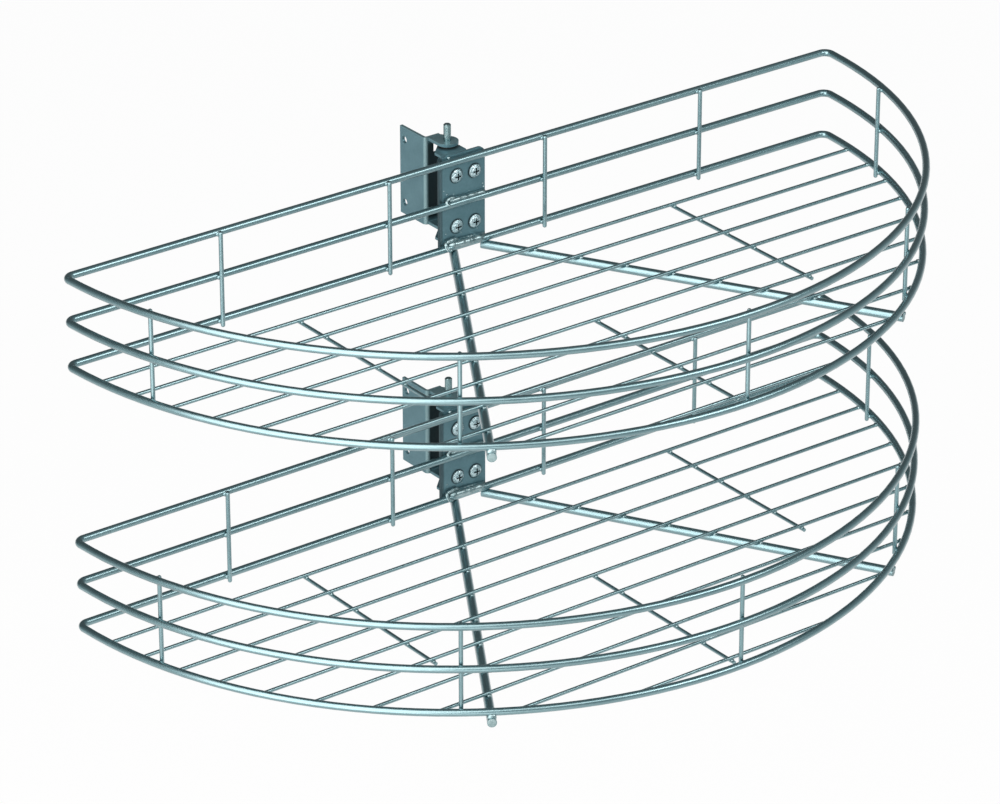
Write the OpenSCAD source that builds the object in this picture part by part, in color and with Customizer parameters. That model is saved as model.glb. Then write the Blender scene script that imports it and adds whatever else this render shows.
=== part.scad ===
// Swing-out wire shelves for a corner cabinet.
// Two half-moon baskets hang one above the other, each on its own pin hinge. The hinge brackets
// screw to the side of the cabinet's upright, and each basket swings out through the door.
// Origin: middle of the lower bracket's two screw holes, on the face that meets the upright.
// +X runs along the baskets' straight side, -Y towards their round side, +Z up.

/* [Basket] */
// Diameter of the round front, over the rails
rim_d = 750; // [560:10:900]
// The round front's centre behind the straight rail's centre
rim_y = 16; // [0:1:24]
// Bend radius of the rails at the two corners, on the wire's centre
corner_r = 7; // [6:0.5:30]
// Wire of the three rails
rail_d = 6; // [5:0.5:8]
// Middle rail above the floor rail, centre to centre
middle_rail_z = 37; // [30:1:50]
// Top rail above the floor rail, centre to centre
top_rail_z = 73; // [66:1:110]
// Depth that welded wires sink into each other
weld_sink = 0.3; // [0.1:0.1:0.5]

/* [Wires] */
// Upright wires inside the rails
upright_d = 3.5; // [3:0.5:5]
// How far the uprights reach above the top rail's centre
upright_above = 2; // [0:0.5:4]
// How far the uprights reach below the floor rail's centre
upright_below = 5; // [3:0.5:8]
// The inner pair of uprights on the straight side, out from the middle
back_upright_in = 76; // [50:1:90]
// The outer pair of uprights on the straight side, out from the middle
back_upright_out = 234; // [180:1:260]
// The inner pair of uprights on the round front, round from its middle
front_upright_in = 35.6; // [30:0.1:40]
// The outer pair of uprights on the round front, round from its middle
front_upright_out = 73.6; // [65:0.1:78]
// Floor wires, which run along the straight side
floor_wire_d = 3; // [2.5:0.5:4]
// Number of floor wires
floor_wires_n = 10; // [7:1:10]
// First floor wire in from the straight rail
first_floor_wire = 36; // [30:0.5:45]
// Floor wire pitch
floor_wire_pitch = 33.8; // [25:0.1:33.8]
// Short cross wires under the floor wires
cross_wire_d = 3; // [2.5:0.5:4]
// The outer cross wires, out from the basket's middle
cross_wire_x = 183; // [150:1:200]
// How far a cross wire runs past its last floor wire
cross_wire_over = 4; // [2:0.5:6]

/* [Support rods] */
// Thick rods that carry the floor from the hinge
rod_d = 7.5; // [6:0.5:9]
// Where the left rod starts, out from the basket's middle
left_rod_x = 9; // [7:0.5:18]
// Where the right rod starts, out from the basket's middle
right_rod_x = 19; // [9:0.5:20]
// Splay of the left rod from straight ahead
left_rod_splay = 32; // [26:0.1:36]
// Splay of the right rod from straight ahead
right_rod_splay = 30.2; // [26:0.1:36]
// How far the left rod stands out past the rail in front
left_rod_over = 2.5; // [-1:0.5:4]
// How far the right rod stands out past the rail in front
right_rod_over = -1; // [-1:0.5:4]

/* [Hinge] */
// Steel sheet of the hinge plate and the hinge body
sheet = 2; // [1.5:0.25:2.5]
// Width of the hinge plate
plate_w = 43.5; // [40:0.5:48]
// Middle of the hinge plate, from the basket's middle
plate_x = 0; // [-2:0.5:2]
// Rounding of the plate's corners
plate_corner_r = 6; // [3:0.5:8]
// Bend radius of the plate's folded edge
plate_bend_r = 3; // [2.5:0.25:3.5]
// How far the plate rises above the top rail's centre
plate_above = 5; // [4:0.5:8]
// Pin axis, from the basket's middle
pin_x = -1.5; // [-3:0.5:0]
// Pin axis behind the rails' centre
pin_y = 21; // [20.5:0.5:22]
// Pin diameter
pin_d = 6; // [5:0.5:7]
// Length of pin that stands above the top ear
pin_above = 14; // [8:1:20]
// Running clearance of the pin in a bush, on the radius
pin_clearance = 0.05; // [0.02:0.01:0.1]
// Round end of a lug, about the pin
lug_r = 7.5; // [7:0.25:8.5]
// Wall of a bush round the pin
bush_wall = 1; // [0.75:0.25:1.5]
// Flange of a bush
bush_flange_d = 14; // [12:0.5:15]
// Gap between a bush and the ear above it
bush_gap = 0.3; // [0.2:0.05:0.5]
// Space between a lug and the ear above it
hinge_gap = 1.5; // [1:0.1:3]
// Thrust washer under the lower lug
washer_t = 1; // [0.8:0.1:1.5]
// Outside of the thrust washer
washer_d = 13; // [11:0.5:15]
// Gap above the thrust washer
thrust_gap = 0.1; // [0.05:0.05:0.2]
// Spring clip in the pin's groove
clip_t = 0.8; // [0.6:0.1:1]
// Outside of the spring clip
clip_d = 11; // [9:0.5:12]

/* [Plate screws] */
// Thread diameter
screw_d = 6; // [5:0.5:6]
// Length under the head
screw_len = 7.5; // [6:0.5:9]
// Head diameter
head_d = 11.5; // [10:0.5:12.5]
// Head height, dome included
head_h = 3.2; // [2.6:0.1:4]
// Height of the head's straight side
head_side = 1.2; // [0.8:0.1:1.8]
// Spacing across the plate
screw_pitch_x = 17.6; // [15:0.1:19]
// Spacing up the plate
screw_pitch_z = 43.4; // [41:0.1:46]
// Middle of the four screws, from the basket's middle
screw_x = 2.5; // [1.5:0.5:3.5]

/* [Wall bracket] */
// Steel sheet of the wall bracket
bracket_sheet = 2.5; // [2:0.25:3]
// Height of the wall bracket
bracket_h = 75; // [70:1:80]
// Depth of the screw flange, back from the web's front face
bracket_depth = 33.5; // [30:0.5:40]
// Pin axis to the face of the screw flange that meets the upright
pin_to_face = 12; // [11.5:0.5:14]
// Pin axis to the front of the web
pin_to_web = 13.5; // [13:0.5:16]
// Width of the web
web_w = 15; // [13:0.5:15]
// Web that is left beside the notch under the top ear
web_neck = 8.5; // [7:0.5:10]
// Height of the notch
notch_h = 12; // [8:1:15]
// Round front of an ear, about the pin
ear_r = 9; // [8:0.25:9.5]
// Screw hole diameter
hole_d = 6; // [4.5:0.5:6.5]
// Spacing of the two screw holes
hole_pitch = 54; // [40:1:56]
// Screw holes in from the flange's free edge
hole_inset = 6; // [5:0.5:9]
// Outer bend radius of the bracket
bracket_bend_r = 3.5; // [3:0.5:4.5]

/* [Assembly] */
// Height of one shelf above the other
shelf_pitch = 222; // [180:1:400]

/* [Hidden] */
SHELVES = ["lower", "upper"];
PIECES = [
    "floor_rail", "middle_rail", "top_rail", "uprights", "floor_wires", "cross_wires",
    "left_support_rod", "right_support_rod", "hinge_plate", "hinge_body", "plate_screws",
    "top_bush", "bottom_bush", "wall_bracket", "pivot_pin", "pin_clip", "thrust_washer",
];
$fn = 48;
eps = 0.01;

// Basket outline, on the rails' centres, with the straight side on y = 0
rail_r = rail_d / 2;
rim_r = (rim_d - rail_d) / 2;
corner_x = sqrt(pow(rim_r - corner_r, 2) - pow(corner_r + rim_y, 2));
rim_start = atan2(corner_r + rim_y, corner_x);
corner_turn = 90 + rim_start;

// The corner bends are a hair thicker than the wire, and what they join ends a little inside them
bend_swell = 0.04;
bend_lap = 0.4;
rim_lap = atan(bend_lap / rim_r);

// Wires, each sunk a little into what it is welded to
upright_in = rail_r + upright_d / 2 - weld_sink;
floor_wire_z = -rail_r + floor_wire_d / 2;
cross_wire_z = -rail_r - cross_wire_d / 2 + weld_sink;
rod_z = -rail_r - rod_d / 2 + weld_sink;
rod_start_y = rail_r;

// Hinge plate and hinge body
plate_y = rail_r - weld_sink;
plate_left = plate_x - plate_w / 2;
plate_right = plate_x + plate_w / 2;
plate_top = top_rail_z + plate_above;
plate_bottom = -1;
body_y = plate_y + sheet;
body_back = body_y + sheet;
body_bend_r = sheet + 0.5;
body_left = plate_left + plate_bend_r + 0.1;
lug_right = pin_x + lug_r;
lug_side_y = pin_y - 6.5;
screw_z = (top_rail_z + 2) / 2;
recess_w = 1.3;

// Heights of the ears and the lugs
ear_top = plate_top + hinge_gap + bracket_sheet;
bracket_bottom = ear_top - bracket_h;
lower_lug_top = bracket_bottom - hinge_gap;
body_bottom = lower_lug_top - sheet;
washer_top = body_bottom - thrust_gap;
clip_top = washer_top - washer_t;
pin_bottom = clip_top - clip_t - 1.5;
pin_top = ear_top + pin_above;
pin_chamfer = 0.6;
groove_r = pin_d / 2 - 0.7;
bush_flange_t = hinge_gap - bush_gap;
bush_r = pin_d / 2 + pin_clearance + bush_wall;

// Wall bracket
face_x = pin_x - pin_to_face;
web_y = pin_y + pin_to_web;
web_back = web_y + bracket_sheet;
flange_end = web_y + bracket_depth;
hole_y = flange_end - hole_inset;
hole_z = bracket_bottom + bracket_h / 2;
web_right = face_x + web_w;
notch_x = face_x + web_neck;

wire_steel = [0.62, 0.71, 0.73];
sheet_steel = [0.50, 0.60, 0.62];
bright_zinc = [0.80, 0.84, 0.85];
black_nylon = [0.10, 0.10, 0.11];

module lower_shelf() {
    translate([-face_x, -hole_y, -hole_z]) children();
}

module upper_shelf() {
    translate([0, 0, shelf_pitch]) lower_shelf() children();
}

// One closed rail: straight back, two corner bends and the round front
module rail(z) {
    color(wire_steel) translate([0, 0, z]) {
        translate([-corner_x - bend_lap, 0, 0]) rotate([0, 90, 0])
            cylinder(d = rail_d, h = 2 * (corner_x + bend_lap));
        translate([corner_x, -corner_r, 0]) rotate([0, 0, -rim_start])
            bend(corner_r, corner_turn, rail_d + bend_swell);
        translate([-corner_x, -corner_r, 0]) rotate([0, 0, 90])
            bend(corner_r, corner_turn, rail_d + bend_swell);
        translate([0, rim_y, 0]) rotate([0, 0, 180 + rim_start - rim_lap])
            bend(rim_r, 180 - 2 * rim_start + 2 * rim_lap, rail_d);
    }
}

module bend(r, turn, wire_d) {
    rotate_extrude(angle = turn) translate([r, 0]) circle(d = wire_d);
}

module floor_rail() {
    rail(0);
}

module middle_rail() {
    rail(middle_rail_z);
}

module top_rail() {
    rail(top_rail_z);
}

// Upright wire with round ends
module upright() {
    end_r = upright_d / 2;
    low = -upright_below + end_r;
    high = top_rail_z + upright_above - end_r;
    translate([0, 0, low]) cylinder(d = upright_d, h = high - low);
    translate([0, 0, low]) sphere(d = upright_d);
    translate([0, 0, high]) sphere(d = upright_d);
}

module uprights() {
    color(wire_steel) {
        for (side = [-1, 1]) for (x = [back_upright_in, back_upright_out])
            translate([side * x, -upright_in, 0]) upright();
        for (turn = [-front_upright_out, -front_upright_in, 0, front_upright_in, front_upright_out])
            translate([0, rim_y, 0]) rotate([0, 0, turn])
                translate([0, -(rim_r - upright_in), 0]) upright();
    }
}

function floor_wire_y(i) = -first_floor_wire - i * floor_wire_pitch;

// Half the length of a floor wire: its outer corner sinks into the inside of the floor rail
function floor_wire_half(y) =
    sqrt(pow(rim_r - rail_r + weld_sink, 2) - pow(rim_y - y + floor_wire_d / 2, 2));

module floor_wires() {
    color(wire_steel) for (i = [0:floor_wires_n - 1]) {
        y = floor_wire_y(i);
        half = floor_wire_half(y);
        translate([-half, y, floor_wire_z]) rotate([0, 90, 0]) cylinder(d = floor_wire_d, h = 2 * half);
    }
}

// A cross wire under the floor wires, from wire number first to wire number last
module cross_wire(x, first, last) {
    back = floor_wire_y(first) + cross_wire_over;
    front = floor_wire_y(last) - cross_wire_over;
    translate([x, back, cross_wire_z]) rotate([90, 0, 0]) cylinder(d = cross_wire_d, h = back - front);
}

module cross_wires() {
    half_way = floor(floor_wires_n / 2);
    color(wire_steel) {
        for (side = [-1, 1]) cross_wire(side * cross_wire_x, 0, half_way);
        cross_wire(0, half_way - 1, floor_wires_n - 1);
    }
}

// Distance along a rod from its start to a circle of radius r about the round front's centre
function rod_reach(x, splay, r) =
    let (
        across = x * sin(splay) + (rim_y - rod_start_y) * cos(splay),
        start_square = pow(x, 2) + pow(rod_start_y - rim_y, 2)
    )
    -across + sqrt(pow(across, 2) + r * r - start_square);

module support_rod(side, x, splay, over) {
    color(wire_steel) translate([side * x, rod_start_y, rod_z]) rotate([90, 0, side * splay])
        cylinder(d = rod_d, h = rod_reach(x, splay, rim_r + rail_r + over));
}

module left_support_rod() {
    support_rod(-1, left_rod_x, left_rod_splay, left_rod_over);
}

module right_support_rod() {
    support_rod(1, right_rod_x, right_rod_splay, right_rod_over);
}

// Cutters for the four screws, along Y
module at_screws() {
    for (sx = [-0.5, 0.5]) for (sz = [-0.5, 0.5])
        translate([screw_x + sx * screw_pitch_x, 0, screw_z + sz * screw_pitch_z]) children();
}

module screw_bores() {
    at_screws() translate([0, plate_y - eps, 0]) rotate([-90, 0, 0]) cylinder(d = screw_d, h = 2 * sheet + 2 * eps);
}

// Rectangle with its two top corners rounded, drawn upright and as thick as depth
module upright_panel(x1, x2, z1, z2, y, depth, corner) {
    translate([0, y + depth, 0]) rotate([90, 0, 0]) linear_extrude(depth) {
        translate([x1, z1]) square([x2 - x1, z2 - z1 - corner]);
        translate([x1 + corner, z1]) square([x2 - x1 - 2 * corner, z2 - z1]);
        for (x = [x1 + corner, x2 - corner]) translate([x, z2 - corner]) circle(corner);
    }
}

// Sheet angle seen from above: one leg along +X, one leg along +Y, bent round the outside corner
module angle_profile(leg_x, leg_y, t, r) {
    difference() {
        union() {
            translate([r, 0]) square([leg_x - r, t]);
            translate([0, r]) square([t, leg_y - r]);
            translate([r, r]) circle(r);
        }
        translate([r, r]) circle(r - t);
        translate([r, t]) square([leg_x, leg_y]);
        translate([t, r]) square([leg_x, leg_y]);
    }
}

// Plate that is welded to the three rails, with its left edge folded back
module hinge_plate() {
    color(sheet_steel) difference() {
        intersection() {
            translate([plate_left, plate_y, plate_bottom]) linear_extrude(plate_top - plate_bottom)
                angle_profile(plate_w, 2 * sheet, sheet, plate_bend_r);
            upright_panel(
                plate_left, plate_right, plate_bottom, plate_top, plate_y - 1, 2 * sheet + 2, plate_corner_r
            );
        }
        screw_bores();
    }
}

// A lug in plan: a wide root on the web that narrows to a round end about the pin
module lug_outline() {
    round_x = pin_x - lug_r * sin(40);
    round_y = pin_y + lug_r * cos(40);
    polygon([
        [body_left, body_y], [lug_right, body_y], [lug_right, pin_y], [pin_x, pin_y],
        [round_x, round_y], [body_left, lug_side_y],
    ]);
    translate([pin_x, pin_y]) circle(lug_r);
}

// Channel seen from the side: a web along Z with two legs along +Y, bent round the outside corners
module channel_profile(height, leg, t, r) {
    difference() {
        union() {
            translate([0, r]) square([t, height - 2 * r]);
            for (z = [0, height - t]) translate([r, z]) square([leg - r, t]);
            for (z = [r, height - r]) translate([r, z]) circle(r);
        }
        translate([t, r]) square([leg, height - 2 * r]);
        for (z = [r, height - r]) translate([r, z]) circle(r - t);
        translate([r, t]) square([leg, height - 2 * t]);
    }
}

// Channel profile stood up in the YZ plane and drawn out along +X
module channel(x1, x2, y, z, height, leg, t, r) {
    translate([x1, y, z]) rotate([90, 0, 90]) linear_extrude(x2 - x1) channel_profile(height, leg, t, r);
}

// Pressed body bolted behind the plate: web, and two lugs that turn on the pin
module hinge_body() {
    height = plate_top - body_bottom;
    reach = pin_y + lug_r - body_y + 1;
    color(sheet_steel) difference() {
        union() {
            intersection() {
                channel(body_left, lug_right, body_y, body_bottom, height, reach, sheet, body_bend_r);
                translate([0, 0, body_bottom]) linear_extrude(height) lug_outline();
            }
            upright_panel(
                body_left, plate_right, body_bottom, plate_top - body_bend_r, body_y, sheet, plate_corner_r
            );
        }
        screw_bores();
        translate([pin_x, pin_y, body_bottom - 1]) cylinder(r = bush_r, h = height + 2);
    }
}

// Pan-head screw along +Y, with a cross recess
module plate_screw() {
    dome_rise = head_h - head_side;
    dome_r = (pow(head_d / 2, 2) + pow(dome_rise, 2)) / (2 * dome_rise);
    difference() {
        union() {
            rotate([-90, 0, 0]) cylinder(d = screw_d, h = screw_len);
            rotate([90, 0, 0]) rotate_extrude() intersection() {
                square([head_d / 2, head_h]);
                translate([0, head_h - dome_r]) circle(dome_r, $fn = 192);
            }
        }
        for (turn = [0, 90]) translate([0, -head_h, 0]) rotate([0, turn, 0])
            cube([head_d / 2, head_h, recess_w], center = true);
    }
}

module plate_screws() {
    color(bright_zinc) at_screws() translate([0, plate_y, 0]) plate_screw();
}

// Flanged bush: the sleeve fills the lug's hole, and the flange lies on the lug
module bush(lug_top) {
    color(black_nylon) translate([pin_x, pin_y, lug_top]) difference() {
        union() {
            translate([0, 0, -sheet]) cylinder(r = bush_r, h = sheet + bush_flange_t);
            cylinder(d = bush_flange_d, h = bush_flange_t);
        }
        translate([0, 0, -sheet - 1]) cylinder(r = pin_d / 2 + pin_clearance, h = sheet + bush_flange_t + 2);
    }
}

module top_bush() {
    bush(plate_top);
}

module bottom_bush() {
    bush(lower_lug_top);
}

// An ear in plan: straight on its left, round about the pin, and tapered to the web's right edge
module ear_outline() {
    left = pin_x - ear_r;
    to_web_edge = sqrt(pow(web_right - pin_x, 2) + pow(pin_to_web, 2));
    touch = atan2(pin_to_web, web_right - pin_x) - acos(ear_r / to_web_edge);
    translate([pin_x, pin_y]) circle(ear_r);
    polygon([
        [left, pin_y], [pin_x, pin_y], [pin_x + ear_r * cos(touch), pin_y + ear_r * sin(touch)],
        [web_right, web_y], [web_right, web_back], [left, web_back],
    ]);
}

// Screw flange, web and two ears, pressed from one sheet
module wall_bracket() {
    reach = web_back - pin_y + ear_r;
    color(sheet_steel) difference() {
        union() {
            translate([face_x, web_y, bracket_bottom]) linear_extrude(bracket_h)
                angle_profile(web_w, bracket_depth, bracket_sheet, bracket_bend_r);
            intersection() {
                translate([0, web_back + web_y, 0]) mirror([0, 1, 0]) channel(
                    pin_x - ear_r, pin_x + ear_r, web_y, bracket_bottom,
                    bracket_h, reach, bracket_sheet, bracket_bend_r
                );
                translate([0, 0, bracket_bottom]) linear_extrude(bracket_h) ear_outline();
            }
        }
        translate([notch_x, web_y - 1, ear_top - bracket_sheet - notch_h])
            cube([web_w + ear_r, bracket_sheet + 2, notch_h]);
        for (z = [-0.5, 0.5]) translate([face_x - 1, hole_y, hole_z + z * hole_pitch])
            rotate([0, 90, 0]) cylinder(d = hole_d, h = bracket_sheet + 2);
        translate([pin_x, pin_y, bracket_bottom - 1]) cylinder(d = pin_d, h = bracket_h + 2);
    }
}

// Pin fixed in the two ears, with a groove for the clip near its lower end
module pivot_pin() {
    color(bright_zinc) translate([pin_x, pin_y, 0]) rotate_extrude() polygon([
        [0, pin_bottom], [pin_d / 2 - pin_chamfer, pin_bottom], [pin_d / 2, pin_bottom + pin_chamfer],
        [pin_d / 2, clip_top - clip_t], [groove_r, clip_top - clip_t], [groove_r, clip_top],
        [pin_d / 2, clip_top], [pin_d / 2, pin_top - pin_chamfer], [pin_d / 2 - pin_chamfer, pin_top],
        [0, pin_top],
    ]);
}

// Open spring clip that snaps into the groove and carries the basket
module pin_clip() {
    color(bright_zinc) translate([pin_x, pin_y, clip_top - clip_t]) difference() {
        cylinder(d = clip_d, h = clip_t);
        translate([0, 0, -1]) cylinder(r = groove_r, h = clip_t + 2);
        translate([-groove_r * 0.8, 0, -1]) cube([groove_r * 1.6, clip_d, clip_t + 2]);
    }
}

module thrust_washer() {
    color(bright_zinc) translate([pin_x, pin_y, clip_top]) difference() {
        cylinder(d = washer_d, h = washer_t);
        translate([0, 0, -1]) cylinder(r = pin_d / 2 + pin_clearance, h = washer_t + 2);
    }
}

lower_shelf() floor_rail();  // lower_floor_rail
lower_shelf() middle_rail();  // lower_middle_rail
lower_shelf() top_rail();  // lower_top_rail
lower_shelf() uprights();  // lower_uprights
lower_shelf() floor_wires();  // lower_floor_wires
lower_shelf() cross_wires();  // lower_cross_wires
lower_shelf() left_support_rod();  // lower_left_support_rod
lower_shelf() right_support_rod();  // lower_right_support_rod
lower_shelf() hinge_plate();  // lower_hinge_plate
lower_shelf() hinge_body();  // lower_hinge_body
lower_shelf() plate_screws();  // lower_plate_screws
lower_shelf() top_bush();  // lower_top_bush
lower_shelf() bottom_bush();  // lower_bottom_bush
lower_shelf() wall_bracket();  // lower_wall_bracket
lower_shelf() pivot_pin();  // lower_pivot_pin
lower_shelf() pin_clip();  // lower_pin_clip
lower_shelf() thrust_washer();  // lower_thrust_washer
upper_shelf() floor_rail();  // upper_floor_rail
upper_shelf() middle_rail();  // upper_middle_rail
upper_shelf() top_rail();  // upper_top_rail
upper_shelf() uprights();  // upper_uprights
upper_shelf() floor_wires();  // upper_floor_wires
upper_shelf() cross_wires();  // upper_cross_wires
upper_shelf() left_support_rod();  // upper_left_support_rod
upper_shelf() right_support_rod();  // upper_right_support_rod
upper_shelf() hinge_plate();  // upper_hinge_plate
upper_shelf() hinge_body();  // upper_hinge_body
upper_shelf() plate_screws();  // upper_plate_screws
upper_shelf() top_bush();  // upper_top_bush
upper_shelf() bottom_bush();  // upper_bottom_bush
upper_shelf() wall_bracket();  // upper_wall_bracket
upper_shelf() pivot_pin();  // upper_pivot_pin
upper_shelf() pin_clip();  // upper_pin_clip
upper_shelf() thrust_washer();  // upper_thrust_washer
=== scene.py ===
import math
import bpy
import bmesh
from mathutils import Matrix, Vector, noise


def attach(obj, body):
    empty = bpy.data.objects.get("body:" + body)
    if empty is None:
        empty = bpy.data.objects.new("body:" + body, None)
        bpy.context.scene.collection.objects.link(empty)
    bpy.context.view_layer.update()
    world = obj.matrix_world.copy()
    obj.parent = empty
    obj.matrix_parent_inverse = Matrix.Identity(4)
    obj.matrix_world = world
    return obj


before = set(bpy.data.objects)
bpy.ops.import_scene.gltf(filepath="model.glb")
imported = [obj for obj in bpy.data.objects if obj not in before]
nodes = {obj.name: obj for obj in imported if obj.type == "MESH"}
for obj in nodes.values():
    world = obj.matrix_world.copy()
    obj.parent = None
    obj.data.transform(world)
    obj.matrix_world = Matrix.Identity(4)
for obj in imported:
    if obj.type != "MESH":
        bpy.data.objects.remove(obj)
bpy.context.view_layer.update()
shelfHeights = {"lower": 0.0, "upper": 222.0}  # of each shelf's own zero above the lower one's, mm
print("frame loaded")


# a socket with arithmetic: an expression on wrapped sockets adds its Math nodes
class Wrapped:
    def __init__(self, tree, socket=None):
        self.tree = tree
        self.socket = socket

    def node(self, kind, settings=None, inputs=None, out=0):
        made = self.tree.nodes.new(kind)
        for key, value in (settings or {}).items():
            setattr(made, key, value)
        for key, value in (inputs or {}).items():
            if isinstance(value, Wrapped):
                self.tree.links.new(value.socket, made.inputs[key])
            else:
                made.inputs[key].default_value = value
        return Wrapped(self.tree, made.outputs[out]) if len(made.outputs) else made

    def calc(self, operation, a, b):
        return self.node("ShaderNodeMath", {"operation": operation}, {0: a, 1: b})

    def __add__(self, other): return self.calc("ADD", self, other)
    def __radd__(self, other): return self.calc("ADD", other, self)
    def __sub__(self, other): return self.calc("SUBTRACT", self, other)
    def __rsub__(self, other): return self.calc("SUBTRACT", other, self)
    def __mul__(self, other): return self.calc("MULTIPLY", self, other)
    def __rmul__(self, other): return self.calc("MULTIPLY", other, self)
    def __pow__(self, other): return self.calc("POWER", self, other)
    def __rpow__(self, other): return self.calc("POWER", other, self)
    def __neg__(self): return self.calc("MULTIPLY", self, -1.0)
    def __abs__(self): return self.calc("ABSOLUTE", self, 0.0)

    def spread(self, low, high):  # low..high becomes 0..1, held at the ends
        return self.node("ShaderNodeMapRange", {"clamp": True},
                         {"Value": self, "From Min": low, "From Max": high})

    def between(self, first, second):  # colour from first to second as this goes 0..1
        return self.node("ShaderNodeMix", {"data_type": "RGBA"},
                         {0: self, 6: first, 7: second}, out=2)


def emptyMaterial(name):
    made = bpy.data.materials.new(name)
    made.use_nodes = True
    made.node_tree.nodes.clear()
    return made, Wrapped(made.node_tree)


def grain(start, place, scale, detail=3.0, rough=0.5, span=(0.3, 0.7)):
    cloudy = start.node("ShaderNodeTexNoise", {},
                        {"Vector": place, "Scale": scale, "Detail": detail, "Roughness": rough})
    return cloudy.spread(*span)


# where the painted shade and highlights on a hinge lie, in m: x and y of the whole fitting, heights off the
# bracket's middle.
# each pair under the pin's is where a mark's soft edge starts and ends
hinge = dict(
    apart=0.222, upperFrom=0.1,  # one hinge above the other, and a height between the two
    screwMiddle=(0.016, -0.007), screwOff=(0.0088, 0.0217),  # x, height: middle of the four, and each off it
    pin=(0.012, -0.041),
    webHeight=(0.031, 0.0345), webFace=(-0.031, -0.029), webBack=(-0.0272, -0.0262),
    bend=(0.0022, 0.0034), bendBack=(-0.0258, -0.0245),  # of the web into the screw flange
    edge=(-0.0070, -0.0056), edgeMiddle=-0.006, edgeHeight=(0.038, 0.042),  # the plate's turned one
    ear=(0.0370, 0.0373), lugFoot=(0.0300, 0.0310), lugTop=(0.0342, 0.0346), earShadow=(0.0085, 0.0125),
    headRing=(0.0059, 0.0070), plateFace=(-0.0580, -0.0578),
    recess=(0.0034, 0.0036), recessFloor=(-0.0619, -0.0614), headRim=(0.0050, 0.0058))


def hingePlaces(start, place):
    # place on either hinge: x, y, height off the bracket's middle, and distance from the nearest screw's axis
    x, y, z = (start.node("ShaderNodeSeparateXYZ", {}, {0: place}, out=axis) for axis in "XYZ")
    low = start.calc("LESS_THAN", z, hinge["upperFrom"])
    level = z - hinge["apart"] * (1.0 - low)
    offX = abs(abs(x - hinge["screwMiddle"][0]) - hinge["screwOff"][0])
    offZ = abs(abs(level - hinge["screwMiddle"][1]) - hinge["screwOff"][1])
    return x, y, level, (offX * offX + offZ * offZ) ** 0.5


def sheetPaintedLight(start, place, colour, look):
    x, y, level, fromScrew = hingePlaces(start, place)
    share = look["share"]
    # painted shade on the web between the ears, and a painted highlight on the bend beside it
    inside = x.spread(*hinge["bend"])
    face = y.spread(*hinge["webFace"])
    pocket = (1.0 - abs(level).spread(*hinge["webHeight"])) * inside * (
        1.0 - y.spread(*hinge["webBack"])) * face
    colour = (pocket * share["pocket"]).between(colour, look["paintedShade"])
    # painted highlight: the bend made lighter, as a lit bend would look
    paintedHighlight = (1.0 - inside) * (1.0 - y.spread(*hinge["bendBack"])) * face
    colour = (paintedHighlight * share["bend"]).between(colour, look["paintedHighlight"])
    # painted shade on the pressed edge of the plate, where it turns away towards the web
    along = abs(level - hinge["edgeMiddle"]).spread(*hinge["edgeHeight"])
    edge = (1.0 - x.spread(*hinge["edge"])) * (1.0 - along)
    colour = (edge * share["edge"]).between(colour, look["paintedShade"])
    # painted highlight: the upper ear made lighter, as if it caught more light than the rest
    colour = (level.spread(*hinge["ear"]) * share["ear"]).between(colour, look["paintedHighlight"])
    # painted shadow on the upper lug, round the pin and under the ear
    offX, offY = x - hinge["pin"][0], y - hinge["pin"][1]
    offPin = (offX * offX + offY * offY) ** 0.5
    shadowUnderEar = (1.0 - offPin.spread(*hinge["earShadow"])) * level.spread(*hinge["lugFoot"]) * (
        1.0 - level.spread(*hinge["lugTop"]))
    colour = (shadowUnderEar * share["earShadow"]).between(colour, look["paintedShade"])
    # painted shade round the screw heads, where they meet the plate
    ring = (1.0 - fromScrew.spread(*hinge["headRing"])) * (1.0 - y.spread(*hinge["plateFace"]))
    return (ring * share["ring"]).between(colour, look["paintedShade"])


def screwPaintedShade(start, place, colour, look):
    # painted shade in the cross recess and round the head's rim
    _, y, _, fromScrew = hingePlaces(start, place)
    share = look["share"]
    recess = y.spread(*hinge["recessFloor"]) * (1.0 - fromScrew.spread(*hinge["recess"]))
    headRim = fromScrew.spread(*hinge["headRim"])
    screwShade = start.calc("MAXIMUM", recess * share["recess"], headRim * share["rim"])
    return screwShade.between(colour, look["paintedShade"])


lacquerFilm = dict(rough=0.22, ior=1.65)


def makeFinish(name, look):
    made, start = emptyMaterial(name)
    place = start.node("ShaderNodeTexCoord", out="Object")
    cloud = grain(start, place, look["cloudScale"])
    fine = grain(start, place, look["fineScale"], rough=0.6)
    tone = cloud * (1.0 - look["fineShare"]) + fine * look["fineShare"]
    colour = tone.between(look["dark"], look["light"])
    if look.get("marks"):
        colour = look["marks"](start, place, colour, look)
    rough = look["rough"] + look["roughSwing"] * fine
    height = fine * look["fineLift"] + cloud * (1.0 - look["fineLift"])
    bump = start.node("ShaderNodeBump", {},
                      {"Strength": look["bump"], "Distance": look["lift"], "Height": height})
    shader = start.node("ShaderNodeBsdfPrincipled", {}, {
        "Base Color": colour, "Metallic": look["metallic"], "Roughness": rough, "Normal": bump,
        "Coat Weight": look.get("lacquer", 0.0),
        "Coat Roughness": lacquerFilm["rough"], "Coat IOR": lacquerFilm["ior"]})
    start.node("ShaderNodeOutputMaterial", {}, {"Surface": shader})
    return made


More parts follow.
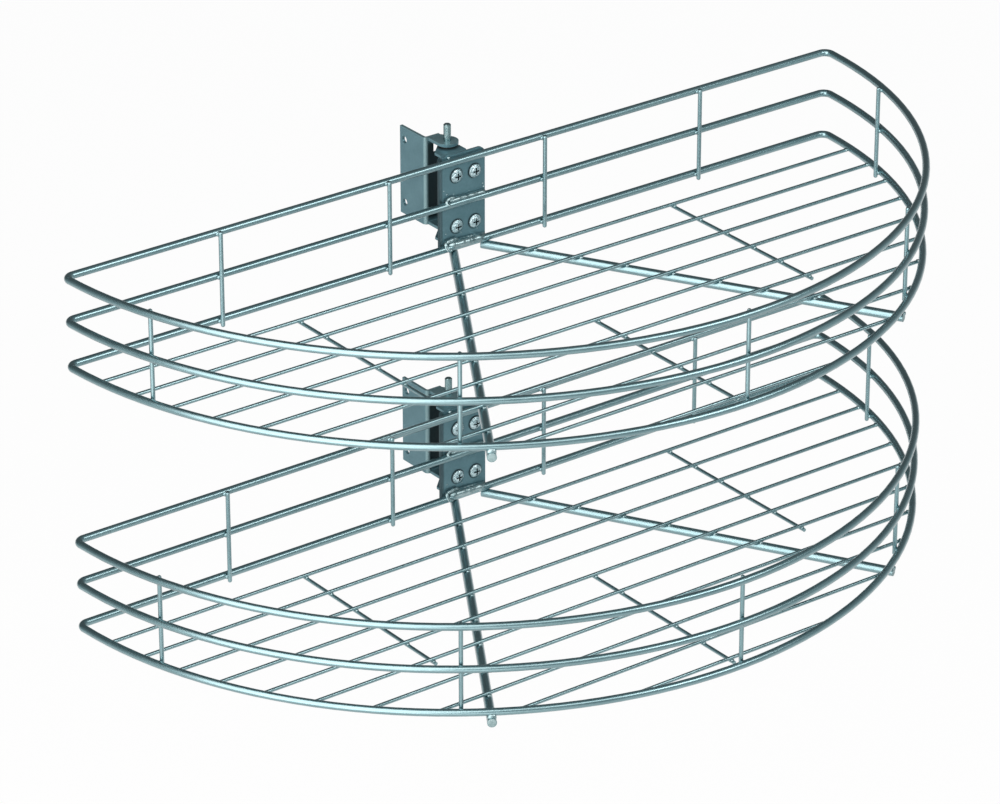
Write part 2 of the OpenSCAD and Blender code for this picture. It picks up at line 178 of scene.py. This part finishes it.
wireLook = dict(
    dark=(0.152, 0.282, 0.308, 1), light=(0.202, 0.348, 0.376, 1), metallic=1.0, rough=0.28, roughSwing=0.03,
    bump=0.01, lift=0.0002, cloudScale=26.0, fineScale=120.0, fineShare=0.25, fineLift=0.6, lacquer=1.0)
sheetLook = dict(
    dark=(0.080, 0.174, 0.205, 1), light=(0.116, 0.231, 0.267, 1), metallic=0.6, rough=0.3, roughSwing=0.1,
    bump=0.14, lift=0.0002, cloudScale=60.0, fineScale=420.0, fineShare=0.4, fineLift=0.5,
    # painted shade and painted highlight colours for the hinge's marks
    marks=sheetPaintedLight, paintedShade=(0.013, 0.026, 0.030, 1), paintedHighlight=(0.20, 0.315, 0.33, 1),
    share=dict(pocket=0.97, bend=0.8, edge=0.75, ear=0.45, earShadow=0.8, ring=0.9))
zincLook = dict(
    dark=(0.20, 0.34, 0.37, 1), light=(0.74, 0.91, 0.95, 1), metallic=1.0, rough=0.1, roughSwing=0.16,
    bump=0.9, lift=0.0005, cloudScale=420.0, fineScale=900.0, fineShare=0.3, fineLift=0.35,
    # painted shade colour for the screw's recess and rim
    marks=screwPaintedShade, paintedShade=(0.03, 0.05, 0.055, 1), share=dict(recess=0.95, rim=0.7))
nylonLook = dict(
    dark=(0.012, 0.016, 0.017, 1), light=(0.03, 0.036, 0.038, 1), metallic=0.0, rough=0.42, roughSwing=0.12,
    bump=0.25, lift=0.0002, cloudScale=120.0, fineScale=1100.0, fineShare=0.4, fineLift=0.5)
pinLook = dict(
    dark=(0.16, 0.27, 0.285, 1), light=(0.32, 0.45, 0.46, 1), metallic=1.0, rough=0.2, roughSwing=0.12,
    bump=0.08, lift=0.0002, cloudScale=120.0, fineScale=700.0, fineShare=0.4, fineLift=0.6)
weldLook = dict(
    dark=(0.115, 0.21, 0.225, 1), light=(0.38, 0.52, 0.54, 1), metallic=1.0, rough=0.3, roughSwing=0.1,
    bump=0.12, lift=0.0004, cloudScale=160.0, fineScale=500.0, fineShare=0.3, fineLift=0.2, lacquer=0.7)
cutLook = dict(
    dark=(0.18, 0.28, 0.29, 1), light=(0.31, 0.42, 0.43, 1), metallic=0.55, rough=0.4, roughSwing=0.15,
    bump=0.3, lift=0.0003, cloudScale=300.0, fineScale=1500.0, fineShare=0.5, fineLift=0.6)
finish = {
    "wire": makeFinish("wireCoat", wireLook),
    "sheet": makeFinish("sheetCoat", sheetLook),
    "zinc": makeFinish("brightZinc", zincLook),
    "nylon": makeFinish("bushNylon", nylonLook),
    "pin": makeFinish("pinSteel", pinLook),
    "weld": makeFinish("weldMetal", weldLook),
    "cut": makeFinish("cutEnd", cutLook),
}
for nodeName, node in nodes.items():
    slotName = node.data.materials[0].name
    node.data.materials[0] = finish["pin" if nodeName.endswith("pivot_pin") else slotName]
print("finishes on the frame's pieces")

# weld metal: each shelf is set out in mm from the middle of its floor rail's straight side
shelfZero = (13.5, -62.0, -44.5)
mm = 0.001
# the round front: radius to the wire's middle, centre behind the straight side, half the wire
rim = dict(radius=372.0, behind=16.0, wire=3.0)
# each rod's start, degrees of splay, end from the rim's centre, and half sizes of the metal run on to it
supportRods = dict(
    left=dict(x=-9.0, y=3.0, splay=-32.0, end=377.5, run=(3.7, 2.0, 3.2)),
    right=dict(x=19.0, y=3.0, splay=30.2, end=374.0, run=(2.4, 1.0, 1.8)))


def toFrame(point, height):
    x, y, z = (value + zero for value, zero in zip(point, shelfZero))
    return Vector((x, y, z + height)) * mm


def onRim(turn, radius, z):  # turn in degrees from the middle of the round front
    a = math.radians(turn)
    return Vector((radius * math.sin(a), rim["behind"] - radius * math.cos(a), z))


def closeRings(shape, rings, first, last):
    sides = len(rings[0])
    for here, there in zip(rings, rings[1:]):
        for k in range(sides):
            shape.faces.new((here[k], here[(k + 1) % sides], there[(k + 1) % sides], there[k]))
    for k in range(sides):
        shape.faces.new((first, rings[0][(k + 1) % sides], rings[0][k]))
        shape.faces.new((last, rings[-1][k], rings[-1][(k + 1) % sides]))


def nugget(shape, height, centre, radii, along=(1, 0, 0), unevenness=0.14, lumps=1.1, rings=6, sides=9):
    # a lump that has run round a joint: half sizes along, across and up
    centre, along = Vector(centre), Vector(along).normalized()
    across = Vector((0, 0, 1)).cross(along).normalized()
    up = along.cross(across)

    def point(polar, turn):
        way = along * math.cos(polar) * radii[0] + (
            across * math.cos(turn) * radii[1] + up * math.sin(turn) * radii[2]) * math.sin(polar)
        swell = 1.0 + unevenness * noise.noise((centre + way) * (lumps / max(radii)))
        return shape.verts.new(toFrame(centre + way * swell, height))

    made = []
    for i in range(1, rings + 1):
        made.append([point(math.pi * i / (rings + 1), 2 * math.pi * k / sides) for k in range(sides)])
    closeRings(shape, made, point(0.0, 0.0), point(math.pi, 0.0))


def smoothPath(points, step, cuts=12):
    # Catmull-Rom through the points, cut into even steps
    ends = [points[0] * 2 - points[1]] + points + [points[-1] * 2 - points[-2]]
    fine = []
    for a, b, c, d in zip(ends, ends[1:], ends[2:], ends[3:]):
        for i in range(cuts):
            t = i / cuts
            fine.append(0.5 * (b * 2 + (c - a) * t + (a * 2 - b * 5 + c * 4 - d) * t ** 2
                               + (b * 3 - a - c * 3 + d) * t ** 3))
    fine.append(points[-1])
    even, left = [fine[0]], step
    for a, b in zip(fine, fine[1:]):
        length = (b - a).length
        while length >= left > 0:
            a = a + (b - a) * (left / length)
            even.append(a)
            length, left = length - left, step
        left -= length
    return even


# the hand in a drawn bead: each share goes with the scale of its noise
beadHand = dict(step=0.35, sides=12, endShare=0.45, endRun=1.2, timing=(0.4, 0.12),
                swell=(0.25, 0.2), swellFrom=(5, 2, 9), sway=(0.55, 0.18), swayFrom=(1, 7, 3),
                pits=(0.1, 0.45))


def bead(shape, height, points, up, size, ripple, pitch, hand=beadHand):
    # a drawn bead: half width and half height in size, swelling with each pool of the weld
    step, sides = hand["step"], hand["sides"]
    path = smoothPath([Vector(p) for p in points], step)
    up = Vector(up)
    rings = []
    for i, here in enumerate(path[1:-1], 1):
        along = (path[i + 1] - path[i - 1]).normalized()
        across = up.cross(along).normalized()
        rise = along.cross(across)
        run = i * step
        toEnd = min(run, (len(path) - 1 - i) * step)
        late = hand["timing"][0] * noise.noise(here * hand["timing"][1])
        pool = abs(math.sin(math.pi * (run / pitch + late)))
        taper = min(1.0, hand["endShare"] + (1.0 - hand["endShare"]) * toEnd / (hand["endRun"] * size[0]))
        uneven = 1.0 + hand["swell"][0] * noise.noise(here * hand["swell"][1] + Vector(hand["swellFrom"]))
        swell = taper * (1.0 - ripple + ripple * pool) * uneven
        sway = across * hand["sway"][0] * noise.noise(here * hand["sway"][1] + Vector(hand["swayFrom"]))
        ring = []
        for k in range(sides):
            turn = 2 * math.pi * k / sides
            way = across * math.cos(turn) * size[0] + rise * math.sin(turn) * size[1]
            pit = 1.0 + hand["pits"][0] * noise.noise((here + way) * hand["pits"][1])
            ring.append(shape.verts.new(toFrame(here + sway + way * swell * pit, height)))
        rings.append(ring)
    first, last = (shape.verts.new(toFrame(end, height)) for end in (path[0], path[-1]))
    closeRings(shape, rings, first, last)


def weldPiece(name, shelf, shape, material):
    shape.normal_update()
    bmesh.ops.recalc_face_normals(shape, faces=shape.faces)
    mesh = bpy.data.meshes.new(name)
    shape.to_mesh(mesh)
    shape.free()
    mesh.polygons.foreach_set("use_smooth", [True] * len(mesh.polygons))
    mesh.materials.append(material)
    piece = bpy.data.objects.new(name, mesh)
    bpy.context.scene.collection.objects.link(piece)
    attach(piece, shelf + "_basket")


uprightWelds = dict(back=(-234, -76, 76, 234), front=(-73.6, -35.6, 0, 35.6, 73.6), heights=(0, 37, 73),
                    inside=3.0, drop=0.3, radii=(3.3, 1.5, 2.3))


def weldUprights(shelf, height, setup):
    shape = bmesh.new()
    for rail in setup["heights"]:
        z = rail - setup["drop"]
        for x in setup["back"]:
            nugget(shape, height, (x, -setup["inside"], z), setup["radii"])
        for turn in setup["front"]:
            a = math.radians(turn)
            spot = onRim(turn, rim["radius"] - setup["inside"], z)
            nugget(shape, height, spot, setup["radii"], (math.cos(a), math.sin(a), 0))
    weldPiece(shelf + "UprightWelds", shelf, shape, finish["wire"])


floorWelds = dict(
    first=-36.0, pitch=33.8, count=10,  # the floor wires, from the straight side to the front
    crossWires=((-183.0, range(0, 6)), (0.0, range(4, 10)), (183.0, range(0, 6))),  # x, floor wires met
    dots=((-1.5, -3.1), (1.5, -3.2)), dot=(1.5, 1.25, 1.2),  # in front of and behind a crossing, half sizes
    rodDots=((-1.7, -3.0), (1.7, -3.1)), rodDot=(1.9, 1.4, 1.3), rodInside=8.0,
    endInside=0.4, endZ=-1.3, end=(1.7, 2.2, 1.7))


def weldFloor(shelf, height, setup):
    shape = bmesh.new()
    for i in range(setup["count"]):
        y = setup["first"] - i * setup["pitch"]
        for x, met in setup["crossWires"]:
            if i in met:
                for off, z in setup["dots"]:
                    nugget(shape, height, (x, y + off, z), setup["dot"])
        for rod in supportRods.values():
            x = rod["x"] + (rod["y"] - y) * math.tan(math.radians(rod["splay"]))
            if x * x + (y - rim["behind"]) ** 2 < (rim["radius"] - setup["rodInside"]) ** 2:
                for off, z in setup["rodDots"]:
                    nugget(shape, height, (x, y + off, z), setup["rodDot"])
        reach = math.sqrt((rim["radius"] - rim["wire"]) ** 2 - (rim["behind"] - y) ** 2)
        for side in (-1, 1):
            nugget(shape, height, (side * (reach - setup["endInside"]), y, setup["endZ"]), setup["end"])
    weldPiece(shelf + "FloorWelds", shelf, shape, finish["weld"])


plateWelds = dict(
    left=-17.3,  # of the plate, where the beads' points are counted from
    beads=(
        # along the top of the middle rail, hooked round it at the left
        dict(rail=37.0, up=(0, 0, 1), size=(2.3, 1.9), ripple=0.07, pitch=6.5,
             points=((3.0, 0.9, 3.0), (12.0, 0.6, 3.4), (25.0, 0.7, 3.1), (38.6, 0.9, 2.7))),
        dict(rail=37.0, up=(0, -1, 0.3), size=(1.5, 1.2), ripple=0.06, pitch=4.0,
             points=((9.0, 1.2, 4.9), (3.0, 0.9, 5.0), (-0.6, 0.0, 3.6), (-0.9, -1.6, 1.6),
                     (2.4, -2.7, 0.2))),
        # along the floor rail, over its top and front
        dict(rail=0.0, up=(0, 0, 1), size=(3.5, 3.5), ripple=0.05, pitch=7.0,
             points=((1.0, 0.0, 1.7), (10.0, -0.4, 1.9), (20.0, -0.2, 1.5), (38.6, 0.6, 0.8))),
        dict(rail=0.0, up=(0, 0, 1), size=(1.3, 1.0), ripple=0.2, pitch=3.4,
             points=((9.0, 1.4, 4.6), (18.0, 1.2, 4.6), (28.0, 1.3, 3.9), (37.6, 1.5, 3.3))),
        dict(rail=0.0, up=(0, -1, 0.4), size=(1.6, 1.3), ripple=0.08, pitch=4.0,
             points=((11.0, 1.0, 5.7), (4.0, 0.6, 6.2), (-1.2, -0.2, 5.0), (-2.2, -1.8, 2.2),
                     (-0.6, -3.1, -0.2), (3.0, -3.6, -1.0)))),
    # at the plate's top corner, and beside it on the middle rail: place and half sizes
    lumps=(((-13.8, 2.4, 76.2), (1.5, 1.2, 1.3)), ((21.9, 1.6, 36.6), (1.4, 1.6, 2.6))),
    # specks of spatter on the plate's face: x, z and half width
    spatter=((-15.5, 45.2, 0.8), (-18.6, 49.0, 0.55), (-9.0, 44.1, 0.5), (14.0, 8.6, 0.6), (-2.0, 9.2, 0.5),
             (-16.8, 11.5, 0.7), (19.5, 46.0, 0.7), (20.3, 43.0, 0.9), (6.0, 43.2, 0.5)),
    speck=dict(y=2.62, thick=0.45, tall=0.9, unevenness=0.2, rings=4, sides=7))


def weldPlate(shelf, height, setup):
    shape = bmesh.new()
    for run in setup["beads"]:
        points = [(setup["left"] + x, y, run["rail"] + z) for x, y, z in run["points"]]
        bead(shape, height, points, run["up"], run["size"], run["ripple"], run["pitch"])
    for place, radii in setup["lumps"]:
        nugget(shape, height, place, radii)
    speck = setup["speck"]
    for x, z, r in setup["spatter"]:
        nugget(shape, height, (x, speck["y"], z), (r, speck["thick"], r * speck["tall"]),
               unevenness=speck["unevenness"], rings=speck["rings"], sides=speck["sides"])
    weldPiece(shelf + "PlateWelds", shelf, shape, finish["weld"])


rodWelds = dict(z=-6.45, radius=3.75, unevenness=0.05,
                outside=2.3, proud=0.2, drop=3.4, runRings=8, runSides=14,  # metal on the rods' ends
                dome=0.32, burr=0.25, cutProud=0.05, cutRings=7, cutSides=20)  # the sawn faces


def weldRods(shelf, height, setup):
    shape, cuts = bmesh.new(), bmesh.new()
    faceSize = (setup["dome"], setup["radius"] - setup["burr"], setup["radius"] - setup["burr"])
    for rod in supportRods.values():
        a = math.radians(rod["splay"])
        way = Vector((math.sin(a), -math.cos(a), 0))
        side = Vector((math.cos(a), math.sin(a), 0))
        start = Vector((rod["x"], rod["y"], setup["z"]))
        away = start - Vector((0, rim["behind"], setup["z"]))
        reach = -away.dot(way) + math.sqrt(away.dot(way) ** 2 + rod["end"] ** 2 - away.length_squared)
        tip = start + way * reach
        out = (tip - Vector((0, rim["behind"], setup["z"]))).normalized()
        # metal run down from the outside of the rail on to the end of the rod
        root = Vector((0, rim["behind"], 0)) + out * (rim["radius"] + setup["outside"])
        hung = root + out * setup["proud"] + Vector((0, 0, -setup["drop"]))
        nugget(shape, height, hung, rod["run"], side,
               unevenness=setup["unevenness"], rings=setup["runRings"], sides=setup["runSides"])
        # sawn faces, a little domed, with the burr left on
        for spot, turn in ((tip, 1), (start, -1)):
            nugget(cuts, height, spot + way * turn * setup["cutProud"], faceSize, way,
                   unevenness=setup["unevenness"], rings=setup["cutRings"], sides=setup["cutSides"])
    weldPiece(shelf + "RodWelds", shelf, shape, finish["weld"])
    weldPiece(shelf + "RodCutEnds", shelf, cuts, finish["cut"])


for shelf, height in shelfHeights.items():
    weldUprights(shelf, height, uprightWelds)
    weldFloor(shelf, height, floorWelds)
    weldPlate(shelf, height, plateWelds)
    weldRods(shelf, height, rodWelds)
print("welds laid on both shelves")

# white to the camera and half so in gloss, pale and matt for the rest. Sizes in m
floorSetup = dict(height=-0.42, halfSize=14.0, white=0.86, mottle=0.02, mottleScale=3.0,
                  shown=0.965, gloss=0.55)


def layFloor(setup):
    made, start = emptyMaterial("paleFloor")
    camera, glossy, through = (start.node("ShaderNodeLightPath", out=ray)
                               for ray in ("Is Camera Ray", "Is Glossy Ray", "Is Transmission Ray"))
    seen = start.calc("MINIMUM", camera + glossy * setup["gloss"] + through, 1.0) * setup["shown"]
    place = start.node("ShaderNodeTexCoord", out="Object")
    pale, paler = ((white,) * 3 + (1,) for white in (setup["white"] - setup["mottle"], setup["white"]))
    mottle = grain(start, place, setup["mottleScale"], detail=2.0, span=(0.2, 0.8)).between(pale, paler)
    matt = start.node("ShaderNodeBsdfDiffuse", {}, {"Color": mottle})
    plain = start.node("ShaderNodeEmission", {}, {"Color": (1, 1, 1, 1), "Strength": 1.0})
    mixed = start.node("ShaderNodeMixShader", {}, {0: seen, 1: matt, 2: plain})
    start.node("ShaderNodeOutputMaterial", {}, {"Surface": mixed})
    shape = bmesh.new()
    half = setup["halfSize"]
    corners = ((-half, -half), (half, -half), (half, half), (-half, half))
    shape.faces.new([shape.verts.new((x, y, setup["height"])) for x, y in corners])
    mesh = bpy.data.meshes.new("studioFloor")
    shape.to_mesh(mesh)
    shape.free()
    floor = bpy.data.objects.new("studioFloor", mesh)
    bpy.context.scene.collection.objects.link(floor)
    mesh.materials.append(made)


# the room's levels of light, and the part of the sky that each one covers
roomLook = dict(base=0.31, behind=0.165, left=0.32, wall=0.12, foot=0.28, tint=(0.87, 0.975, 1.0, 1),
                behindFrom=(-0.2, 0.6), leftFrom=(0.3, 0.95), footTo=(0.0, 0.22), lowTo=(0.25, 0.75))


def lightRoom(look):
    # an even room, lighter on the left and at the foot of its walls, darker behind the shelves
    world = bpy.data.worlds.new("studioRoom")
    world.use_nodes = True
    world.node_tree.nodes.clear()
    bpy.context.scene.world = world
    start = Wrapped(world.node_tree)
    place = start.node("ShaderNodeTexCoord", out="Generated")
    x, y, z = (start.node("ShaderNodeSeparateXYZ", {}, {0: place}, out=axis) for axis in "XYZ")
    behind = y.spread(*look["behindFrom"])
    left = (-x).spread(*look["leftFrom"])
    foot = 1.0 - z.spread(*look["footTo"])
    low = 1.0 - z.spread(*look["lowTo"])
    level = look["base"] - behind * look["behind"] + low * left * look["left"] + (1.0 - behind) * (
        low * look["wall"] + foot * look["foot"])
    tinted = level.between((0, 0, 0, 1), look["tint"])
    back = start.node("ShaderNodeBackground", {}, {"Color": tinted, "Strength": 1.0})
    start.node("ShaderNodeOutputWorld", {}, {"Surface": back})


lampAim = (0.0, -0.2, 0.1)
lamps = dict(
    keyBox=dict(place=(-1.466, -0.734, 1.0), aim=lampAim, size=(2.0, 2.7),
                radiance=3.25, tint=(1.0, 0.90, 0.875)),
    frontBox=dict(place=(0.72, -1.50, 1.22), aim=lampAim, size=(0.90, 0.56),
                  radiance=5.9, tint=(1.0, 0.92, 0.9)),
    fillBox=dict(place=(-0.05, -1.45, 1.45), aim=lampAim, size=(0.95, 0.9),
                 radiance=2.2, tint=(1.0, 0.92, 0.9)),
    lowBox=dict(place=(-1.23, -0.97, -0.22), aim=(0.0, -0.2, 0.25), size=(2.2, 0.36),
                radiance=1.8, tint=(1.0, 0.90, 0.875)))


def softBox(name, setup):
    data = bpy.data.lights.new(name, "AREA")
    data.shape = "RECTANGLE"
    data.size, data.size_y = setup["size"]
    data.energy = setup["radiance"] * math.pi * setup["size"][0] * setup["size"][1]
    data.color = setup["tint"]
    lamp = bpy.data.objects.new(name, data)
    lamp.location = setup["place"]
    lamp.rotation_euler = (Vector(setup["aim"]) - Vector(setup["place"])).to_track_quat("-Z", "Y").to_euler()
    bpy.context.scene.collection.objects.link(lamp)


layFloor(floorSetup)
lightRoom(roomLook)
for name, setup in lamps.items():
    softBox(name, setup)
print("floor and light set")

# the camera, fitted to the upper shelf: from the middle of its straight side, on the floor rail
cameraFit = dict(azimuth=-36.89, elevation=26.169, distance=3.85133, lensPixels=5000.0, imageWidth=1000.0,
                 sensor=36.0, clipEnd=60.0, shelfOrigin=(0.0135, -0.062, 0.1775), forward=(0.0, -0.15, 0.0),
                 aimAcross=-0.062302, aimUp=-0.072633)


def placeCamera(fit):
    a, e = math.radians(fit["azimuth"]), math.radians(fit["elevation"])
    back = Vector((math.sin(a) * math.cos(e), -math.cos(a) * math.cos(e), math.sin(e)))
    right = Vector((math.cos(a), math.sin(a), 0))
    up = back.cross(right)
    aim = Vector(fit["shelfOrigin"]) + Vector(fit["forward"]) + right * fit["aimAcross"] + up * fit["aimUp"]
    data = bpy.data.cameras.new("photoCamera")
    data.sensor_width = fit["sensor"]
    data.lens = fit["lensPixels"] * fit["sensor"] / fit["imageWidth"]
    data.clip_end = fit["clipEnd"]
    camera = bpy.data.objects.new("photoCamera", data)
    turned = Matrix((right, up, back)).transposed().to_4x4()
    camera.matrix_world = Matrix.Translation(aim + back * fit["distance"]) @ turned
    bpy.context.scene.collection.objects.link(camera)
    bpy.context.scene.camera = camera


placeCamera(cameraFit)
bpy.context.scene.view_settings.view_transform = "Standard"
print("camera set")
